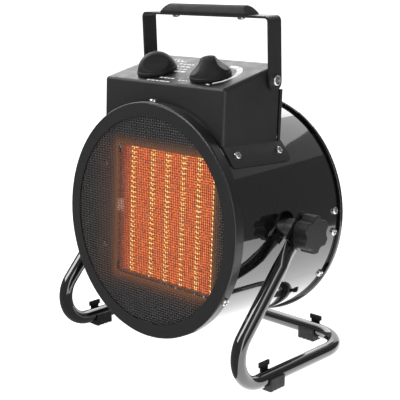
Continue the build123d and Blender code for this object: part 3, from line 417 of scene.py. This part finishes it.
def hot_metal(name, strength):
    """The start of a glowing metal's recipe."""
    made = Recipe(name)
    made.shade(HOT_METAL, 0.2, made.noise(300.0))
    made.set(Roughness=0.5, Emission_Strength=strength)
    return made


def glowing(name, colour, strength, grain):
    """Hot metal: its own light, uneven along its length."""
    made = hot_metal(name, strength)
    uneven = made.spread(made.noise(grain, 2.0, 0.7), 0.2, 1.0, 0.32, 0.66)
    made.light_up(uneven, colour)
    return made.material


def hot_fins(colour):
    """Folded fins that glow, with painted shade that keeps the glow bright on their upper flanks and dull on
    downward faces and in the folds, and that cool towards the left edge.
    """
    made = hot_metal("hot_fins", 1.55)
    # Painted shade: the glow dims on faces that turn downward, by their facing alone.
    painted_flank_shade = made.spread(made.facing(UP), 0.05, 1.0, -0.5, 0.5)
    uneven = made.spread(made.noise(330.0, 2.0, 0.7), 0.2, 1.0, 0.36, 0.62)
    across, _, _ = made.heater_place()
    edge, _ = span("element_fins", RIGHT)
    warm = made.spread(across, 0.42, 1.0, edge + COOL_BAND[0], edge + COOL_BAND[1])
    made.light_up(made.math("MULTIPLY", made.math("MULTIPLY", painted_flank_shade, uneven), warm), colour)
    return made.material


def hot_strips(colour):
    """Heating strips, brightest where each crest of the fins is bonded to them."""
    made = hot_metal("hot_strips", 2.5)
    across, _, rise = made.heater_place()
    phase = made.math("ADD", made.math("MULTIPLY", rise, 2 * math.pi / BOND_PITCH),
                      made.math("MULTIPLY", across, BOND_SLANT))
    bond = made.spread(made.math("SINE", phase), 0.10, 1.0, -0.5, 0.6)
    uneven = made.spread(made.noise(90.0), 0.7, 1.0)
    made.light_up(made.math("MULTIPLY", bond, uneven), colour)
    return made.material


def painted_glow_round_window(name, base, rough, strength, fade):
    """A black coat with a painted brown-orange glow, light from the element, close to the element's window and
    fading away from it.
    """
    made = Recipe(name)
    made.shade(base, 0.15, made.noise(60.0))
    made.set(Roughness=rough, Emission_Strength=strength)
    across, _, rise = made.heater_place()
    squares = []
    for place, direction in ((across, RIGHT), (rise, UP)):
        low, high = span("element_frame", direction)
        past = made.math("SUBTRACT", made.math("ABSOLUTE", place), (high - low) / 2)
        past = made.math("MAXIMUM", past, 0.0)
        squares.append(made.math("MULTIPLY", past, past))
    away = made.math("SQRT", made.math("ADD", *squares))
    near = made.spread(away, 1.0, 0.0, 0.0, fade)
    # Painted light: the weight of the element's glow painted on the coat, falling off away from the window.
    heat = made.math("POWER", near, 2.0)
    made.link(made.blend(heat, NO_GLOW, PAINTED_HALO), made.shader.inputs["Emission Color"])
    return made.material


# The CAD nodes that keep their own shape, by finish.
FINISHES = {
    gloss_enamel: ("drum_shell", "rear_ring", "stand_tube"),
    powder_coat: ("control_hood", "hood_rear_cover", "handle_strap", "rear_grille"),
    ring_coat: ("front_ring",),
    zinc_sheet: ("mesh_retainer", "motor_bracket", "element_brackets", "thermal_cutout", "motor_can",
                 "clamp_boss_left", "clamp_boss_right", "clamp_stud_left", "clamp_stud_right",
                 "selector_spindle", "thermostat_spindle", "motor_shaft", "fan_nut"),
    cast_aluminium: ("fan_blades",),
    black_oxide: ("clamp_washer_left", "clamp_washer_right"),
    bright_nickel: ("front_ring_screws", "rear_ring_screws", "hood_screws", "grip_screws",
                    "cover_screws", "pivot_screws", "baffle_screws", "motor_bracket_screws"),
    bright_copper: ("sensing_tube",),
    black_nylon: ("cable_gland", "gland_nut", "pivot_washers", "selector_switch", "thermostat",
                  "terminal_block"),
}
# The CAD nodes that are replaced by softened copies: each one's body, slot and finish.
MOULDINGS = {
    "selector_knob": ("selector_dial", "knob_black", moulded_plastic),
    "thermostat_knob": ("thermostat_dial", "knob_black", moulded_plastic),
    "handle_grip": ("handle", "knob_black", moulded_plastic),
    "star_knob_left": ("clamp_left_knob", "star_black", grained_phenolic),
    "star_knob_right": ("clamp_right_knob", "star_black", grained_phenolic),
    "foot_front_left": ("stand", "rubber_black", moulded_rubber),
    "foot_front_right": ("stand", "rubber_black", moulded_rubber),
    "foot_rear_left": ("stand", "rubber_black", moulded_rubber),
    "foot_rear_right": ("stand", "rubber_black", moulded_rubber),
}
SMOOTH_FACTOR = 0.5
SMOOTH_PASSES = 4


# ---- mesh making
def dress(piece, material):
    """Gives a piece one material."""
    piece.data.materials.clear()
    piece.data.materials.append(material)


def dress_node(name, material):
    dress(frame["nodes"][name], material)


def new_piece(name, points, faces, smooth=True):
    """A mesh object made from points in metres."""
    mesh = bpy.data.meshes.new(name)
    mesh.from_pydata([tuple(point) for point in points], [], [tuple(face) for face in faces])
    mesh.validate()
    if smooth:
        mesh.shade_smooth()
    piece = bpy.data.objects.new(name, mesh)
    bpy.context.scene.collection.objects.link(piece)
    return piece


def settle(piece):
    """Applies a piece's modifiers to its mesh."""
    bpy.context.view_layer.update()
    depsgraph = bpy.context.evaluated_depsgraph_get()
    solved = bpy.data.meshes.new_from_object(piece.evaluated_get(depsgraph))
    piece.modifiers.clear()
    old = piece.data
    piece.data = solved
    bpy.data.meshes.remove(old)


def softened(node, name, step):
    """A copy of a CAD moulding with its sharp corners worked round, as a tool leaves them."""
    piece = bpy.data.objects.new(name, frame["nodes"][node].data.copy())
    bpy.context.scene.collection.objects.link(piece)
    remesh = piece.modifiers.new("remesh", "REMESH")
    remesh.mode = "VOXEL"
    remesh.voxel_size = step
    smooth = piece.modifiers.new("smooth", "SMOOTH")
    smooth.factor = SMOOTH_FACTOR
    smooth.iterations = SMOOTH_PASSES
    settle(piece)
    piece.data.shade_smooth()
    return piece


def plates(shapes, matrix, low, high):
    """Thin raised plates from flat outlines, as points and faces."""
    points, faces = [], []
    for outline in shapes:
        count = len(outline)
        start = len(points)
        for level in (low, high):
            points += [matrix @ Vector((x * MM, y * MM, level)) for x, y in outline]
        faces.append(range(start + count, start + 2 * count))
        faces.append(range(start + count - 1, start - 1, -1))
        for i in range(count):
            j = (i + 1) % count
            faces.append((start + i, start + j, start + count + j, start + count + i))
    return points, faces


# ---- pieces
class HEATER_OT_finishes(bpy.types.Operator):
    """Gives each metal and plastic part of the frame its finish"""
    bl_idname = "heater.finishes"
    bl_label = "Coats and plating"

    def execute(self, context):
        for make, nodes in FINISHES.items():
            material = make()
            for node in nodes:
                dress_node(node, material)
        return {"FINISHED"}


class HEATER_OT_mouldings(bpy.types.Operator):
    """Makes the dials, star knobs, grip and feet with soft moulded edges"""
    bl_idname = "heater.mouldings"
    bl_label = "Mouldings"

    def execute(self, context):
        materials = {make: make() for make in (moulded_plastic, grained_phenolic, moulded_rubber)}
        for node, (body, slot, make) in MOULDINGS.items():
            piece = softened(node, "soft_" + node, sizes().mould_grain)
            dress(piece, materials[make])
            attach(piece, body)
            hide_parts(node)
        return {"FINISHED"}


class HEATER_OT_element(bpy.types.Operator):
    """Lights the folded fins, their strips and dividers, and paints the element's light as a glow round the
    baffle's window
    """
    bl_idname = "heater.element"
    bl_label = "Heating element"

    def execute(self, context):
        fins, strips = tuple(colours().fins), tuple(colours().strips)
        dress_node("element_fins", hot_fins(fins))
        dress_node("element_strips", hot_strips(strips))
        dress_node("element_dividers", glowing("hot_dividers", fins, strength=1.6, grain=300.0))
        dress_node("element_frame", glowing("warm_frame", fins, strength=0.22, grain=200.0))
        dress_node("element_terminal", glowing("hot_lead", HOT_LEAD, strength=0.75, grain=600.0))
        # The baffle's orange glow round the window is painted light from the element.
        dress_node("baffle_plate", painted_glow_round_window("baffle_painted_glow", BAFFLE_BLACK, rough=0.6,
                                                     strength=0.55, fade=13 * MM))
        return {"FINISHED"}


# Steps along a wire from one crossing to the next, how far it swings at a crossing in wire thicknesses, and
# the corners of its section.
WIRE_STEPS = 2
CRIMP = 0.52
WIRE_CORNERS = 4


def wire_faces(start, steps):
    """The faces of a wire whose points, a section at a time, begin at an index: its sides and its two ends."""
    faces = []
    for i in range(steps):
        near = start + WIRE_CORNERS * i
        far = near + WIRE_CORNERS
        for k in range(WIRE_CORNERS):
            n = (k + 1) % WIRE_CORNERS
            faces.append((near + k, near + n, far + n, far + k))
    last = start + WIRE_CORNERS * steps
    faces.append(range(start + WIRE_CORNERS - 1, start - 1, -1))
    faces.append(range(last, last + WIRE_CORNERS))
    return faces


class HEATER_OT_guard(bpy.types.Operator):
    """Weaves the front guard from crimped wire"""
    bl_idname = "heater.guard"
    bl_label = "Front guard"

    def execute(self, context):
        pitch, thick = sizes().wire_pitch, sizes().wire_thickness
        low, high = span("front_mesh", RIGHT)
        radius = (high - low) / 2
        front, rear = span("front_mesh", BACK)
        depth = (front + rear) / 2 - FACE.dot(BACK)
        count = int(radius / pitch)
        points, faces = [], []
        turns = [math.pi * (2 * k + 1) / WIRE_CORNERS for k in range(WIRE_CORNERS)]
        section = [(thick / 2 * math.cos(turn), thick / 2 * math.sin(turn)) for turn in turns]
        for upright in (True, False):
            for row in range(-count, count + 1):
                side = row * pitch
                half = int(math.sqrt(radius ** 2 - side ** 2) / pitch * WIRE_STEPS)
                if half < WIRE_STEPS:
                    continue
                faces += wire_faces(len(points), 2 * half)
                for i in range(-half, half + 1):
                    run = i * pitch / WIRE_STEPS
                    phase = math.pi * (i / WIRE_STEPS + row + (0 if upright else 1))
                    level = depth + math.cos(phase) * thick * CRIMP
                    for out, deep in section:
                        across, up = (side + out, run) if upright else (run, side + out)
                        points.append(HEATER @ Vector((across, level + deep, up)))
        guard = new_piece("woven_guard", points, faces)
        # The wire's faint orange glow near the window is painted light from the element.
        dress(guard, painted_glow_round_window("wire_painted_glow", WIRE_GREY, rough=0.42, strength=0.04, fade=12 * MM))
        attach(guard, "heater")
        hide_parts("front_mesh")
        return {"FINISHED"}


def bar(x, y, length, width, turn=0.0):
    """A flat bar's outline on the panel, in millimetres."""
    c, s = math.cos(math.radians(turn)), math.sin(math.radians(turn))
    corners = [(u * length / 2, v * width / 2) for u, v in SQUARE]
    return [(x + c * u - s * v, y + s * u + c * v) for u, v in corners]


def spiral_band(centre, start, end):
    """Part of the heat scale, whose edges move outward with the angle, as outlines in millimetres."""
    steps = max(2, int(abs(end - start) / SCALE_STEP))
    shapes = []
    for i in range(steps):
        corners = []
        for part, edge in ((i, SCALE_INNER), (i, SCALE_OUTER), (i + 1, SCALE_OUTER), (i + 1, SCALE_INNER)):
            angle = start + (end - start) * part / steps
            radius = float(np.interp(angle, *zip(*edge)))
            turn = math.radians(angle)
            corners.append((centre + radius * math.cos(turn), radius * math.sin(turn)))
        shapes.append(corners)
    return shapes


# The heat scale round the thermostat dial: angles in degrees with the radius of each edge in millimetres,
# then the angles that each of its parts covers, and the step between points along them.
SCALE_INNER = ((-52, 19.3), (0, 19.5), (30, 20.4), (55, 22.8), (77, 26.0), (100, 28.0))
SCALE_OUTER = ((-52, 21.4), (0, 22.6), (30, 25.0), (58, 29.0), (78, 31.8), (100, 33.0))
SCALE_PARTS = ((-44, -5), (-3, 27), (29, 53), (55, 76), (78, 98))
SCALE_STEP = 4
# Two marks by the thermostat dial: place from its middle, length, width and turn in degrees.
DIAL_MARKS = ((-22.0, -3.6, 4.4, 1.0, 78.0), (12.4, -17.6, 4.8, 1.6, -20.0))
# How far the print's underside lies in the panel.
PRINT_SINK = 0.02 * MM
BAR_GAP = 1.3
# Rows of small bars: start of the first bar across the panel, height up it, width and the bars' lengths,
# in millimetres.
BAR_ROWS = (
    (-46.0, 35.5, 2.0, (2.5, 4.0, 2.5)),
    (-38.5, 31.5, 2.2, (3.0, 4.5, 2.0)),
    (-30.0, 25.5, 2.2, (4.0, 3.5, 5.0, 2.5)),
    (-27.5, 18.8, 2.6, (3.5, 6.0, 5.5)),
    (-23.0, 12.6, 2.0, (4.5, 3.0, 5.5)),
    (-22.0, 6.2, 3.0, (3.5, 6.5, 5.5)),
    (-17.0, -12.3, 2.0, (3.0, 4.5, 2.5, 3.5)),
    (-25.0, -20.8, 1.9, (3.5, 5.0, 3.5, 6.5, 4.0)),
    (8.0, -14.6, 1.7, (2.5, 3.5, 1.8)),
)


class HEATER_OT_panel_print(bpy.types.Operator):
    """Prints the panel's plain bars and heat scale"""
    bl_idname = "heater.panel_print"
    bl_label = "Panel print"

    def execute(self, context):
        dial = DIAL_GAP / 2 / MM
        shapes = []
        for x, y, high, lengths in BAR_ROWS:
            for length in lengths:
                shapes.append(bar(x + length / 2, y, length, high))
                x += length + BAR_GAP
        for x, *mark in DIAL_MARKS:
            shapes.append(bar(dial + x, *mark))
        for start, end in SCALE_PARTS:
            shapes += spiral_band(dial, start, end)
        points, faces = plates(shapes, PANEL, -PRINT_SINK, sizes().print_height)
        piece = new_piece("panel_print", points, faces, smooth=False)
        dress(piece, panel_ink_painted_glow())
        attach(piece, "heater")
        return {"FINISHED"}


# ---- stage
CAMERA_PLACE = (0.5916, -0.6218, 0.3437)
CAMERA_TURN = (math.radians(76.647), 0.0, math.radians(43.921))
CAMERA_LENS = 85.03
WORLD_STRENGTH = 0.22
FLOOR_HALF = 12.0
FLOOR_DROP = 0.2 * MM
WALL_RADIUS = 11.0
WALL_HEIGHT = 8.0
WALL_SIDES = 48
# The way from the camera to the drum and past it, along the floor.
AWAY = Vector((0.64, 0.77, 0.0))
# The floor's mirror image: bright just behind the drum, fading away from it. Its height over the floor, how
# far it reaches along AWAY, its width and its strength at the near and the far side.
FLOOR_CARD_LIFT = 1 * MM
FLOOR_CARD_REACH = 0.50
FLOOR_CARD_WIDTH = 1.6
FLOOR_CARD_GLOW = (3.0, 0.5)
# The hanging cards: whether each faces the drum or the panel, its place from the middle of that, its width
# and height, its strength, and the strength of its far side where it fades.
CARDS = {
    "dark_card": ("drum", (0.48, 0.5775, 0.10), 2.0, 0.56, 0.16, None),
    "edge_strip": ("drum", (0.85, -0.45, 0.25), 0.26, 1.1, 3.2, None),
    "panel_card": ("panel", (-0.4185, 0.33232, 0.31372), 0.9, 0.5, 3.4, None),
    "top_card": ("drum", (-0.12, 0.576, 0.592), 0.8, 0.42, 0.15, 2.0),
    "side_card": ("drum", (0.20, 0.72, 0.416), 0.9, 0.22, 0.25, 0.55),
    "rear_card": ("drum", (-0.24, 0.76, 0.08), 0.7, 0.5, 1.3, None),
}
# The lights: place, size and power in watts. Both face the drum.
LIGHTS = {
    "key": ((-0.9, -1.2, 1.5), 1.1, 24.0),
    "fill": ((1.6, -0.6, 1.2), 1.2, 1.5),
}


def card_glow(name, strength, far_strength):
    """A plain white glow, which may fade from one side of the card to the other."""
    material = bpy.data.materials.new(name)
    material.use_nodes = True
    tree = material.node_tree
    tree.nodes.clear()
    glow = tree.nodes.new("ShaderNodeEmission")
    glow.inputs["Strength"].default_value = strength
    glow.inputs["Color"].default_value = (*WHITE, 1.0)
    if far_strength is not None:
        place = tree.nodes.new("ShaderNodeTexCoord")
        parts = tree.nodes.new("ShaderNodeSeparateXYZ")
        fade = tree.nodes.new("ShaderNodeMapRange")
        tree.links.new(place.outputs["Generated"], parts.inputs["Vector"])
        tree.links.new(parts.outputs["Y"], fade.inputs["Value"])
        fade.inputs["To Min"].default_value = strength
        fade.inputs["To Max"].default_value = far_strength
        tree.links.new(fade.outputs["Result"], glow.inputs["Strength"])
    output = tree.nodes.new("ShaderNodeOutputMaterial")
    tree.links.new(glow.outputs["Emission"], output.inputs["Surface"])
    return material


def glow_card(name, corners, strength, far_strength=None):
    """A glowing card that only the gloss mirrors."""
    card = new_piece(name, corners, [(0, 1, 2, 3)], smooth=False)
    dress(card, card_glow(name, strength, far_strength))
    card.visible_camera = card.visible_shadow = card.visible_diffuse = False


def hung_card(name, place, target, width, height, strength, far_strength):
    """A glowing card that hangs in the air and faces a target."""
    turn = (target - place).to_track_quat("Z", "Y").to_matrix().to_4x4()
    turn.translation = place
    corners = [turn @ Vector((x * width / 2, y * height / 2, 0)) for x, y in SQUARE]
    glow_card(name, corners, strength, far_strength)


def floor_card(name, foot):
    """A glowing card on the floor that starts at a point and runs away from the camera."""
    half = Vector((AWAY.y, -AWAY.x, 0)) * FLOOR_CARD_WIDTH / 2
    far = foot + AWAY * FLOOR_CARD_REACH
    glow_card(name, (foot - half, foot + half, far + half, far - half), *FLOOR_CARD_GLOW)


def wall(name, radius, low, height):
    """A plain round wall that only the camera sees."""
    points, faces = [], []
    for i in range(WALL_SIDES):
        turn = 2 * math.pi * i / WALL_SIDES
        points += [(radius * math.cos(turn), radius * math.sin(turn), z) for z in (low, low + height)]
        j = (i + 1) % WALL_SIDES
        faces.append((2 * i, 2 * i + 1, 2 * j + 1, 2 * j))
    piece = new_piece(name, points, faces)
    piece.visible_glossy = piece.visible_diffuse = piece.visible_shadow = False
    return piece


def soft_light(name, place, target, size, power):
    """A square soft light that faces a target."""
    data = bpy.data.lights.new(name, "AREA")
    data.shape = "SQUARE"
    data.size = size
    data.energy = power
    light = bpy.data.objects.new(name, data)
    bpy.context.scene.collection.objects.link(light)
    light.location = place
    light.rotation_euler = (target - Vector(place)).to_track_quat("-Z", "Y").to_euler()


class HEATER_OT_stage(bpy.types.Operator):
    """Sets up the pale floor, the soft light and the camera"""
    bl_idname = "heater.stage"
    bl_label = "Floor, light and camera"

    def execute(self, context):
        scene = context.scene
        scene.view_settings.view_transform = "Standard"
        world = bpy.data.worlds.new("studio")
        world.use_nodes = True
        background = world.node_tree.nodes["Background"]
        background.inputs["Color"].default_value = (*WHITE, 1.0)
        background.inputs["Strength"].default_value = WORLD_STRENGTH
        scene.world = world

        low = CAD_BOX[0][2] - FLOOR_DROP
        corners = [(x * FLOOR_HALF, y * FLOOR_HALF, low) for x, y in SQUARE]
        floor = new_piece("floor", corners, [(0, 1, 2, 3)], smooth=False)
        plain = pale_floor()
        dress(floor, plain)
        floor.visible_glossy = False

        middle = Vector(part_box("drum_shell")[0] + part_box("drum_shell")[1]) / 2
        floor_card("back_floor", Vector((middle.x, middle.y, FLOOR_CARD_LIFT)))
        aims = {"drum": middle, "panel": PANEL_MIDDLE}
        for name, (aim, offset, *card) in CARDS.items():
            hung_card(name, aims[aim] + Vector(offset), aims[aim], *card)
        dress(wall("backdrop", WALL_RADIUS, low, WALL_HEIGHT), plain)
        for name, (place, size, power) in LIGHTS.items():
            soft_light(name, place, middle, size, power)

        data = bpy.data.cameras.new("camera")
        data.lens = CAMERA_LENS
        camera = bpy.data.objects.new("camera", data)
        scene.collection.objects.link(camera)
        camera.location = CAMERA_PLACE
        camera.rotation_euler = CAMERA_TURN
        scene.camera = camera
        return {"FINISHED"}


class HEATER_PT_panel(bpy.types.Panel):
    """Lists the heater's pieces and their settings"""
    bl_idname = "HEATER_PT_panel"
    bl_label = "Drum Fan Heater"
    bl_space_type = "VIEW_3D"
    bl_region_type = "UI"
    bl_category = "Fan Heater"

    def draw(self, context):
        for settings in (context.scene.heater_sizes, context.scene.heater_colours):
            column = self.layout.column()
            for key in type(settings).__annotations__:
                column.prop(settings, key)
        for operator in OPERATORS:
            self.layout.operator(operator.bl_idname)


OPERATORS = (HEATER_OT_finishes, HEATER_OT_mouldings, HEATER_OT_element, HEATER_OT_guard,
             HEATER_OT_panel_print, HEATER_OT_stage)
CLASSES = (HeaterSizes, HeaterColours, *OPERATORS, HEATER_PT_panel)


def register():
    for one in CLASSES:
        bpy.utils.register_class(one)
    bpy.types.Scene.heater_sizes = bpy.props.PointerProperty(type=HeaterSizes)
    bpy.types.Scene.heater_colours = bpy.props.PointerProperty(type=HeaterColours)


def unregister():
    del bpy.types.Scene.heater_colours
    del bpy.types.Scene.heater_sizes
    for one in reversed(CLASSES):
        bpy.utils.unregister_class(one)


def main():
    """Runs each operator in order."""
    register()
    for operator in OPERATORS:
        group, name = operator.bl_idname.split(".")
        if getattr(getattr(bpy.ops, group), name)() != {"FINISHED"}:
            raise RuntimeError(operator.bl_idname)


if __name__ == "__main__":
    main()
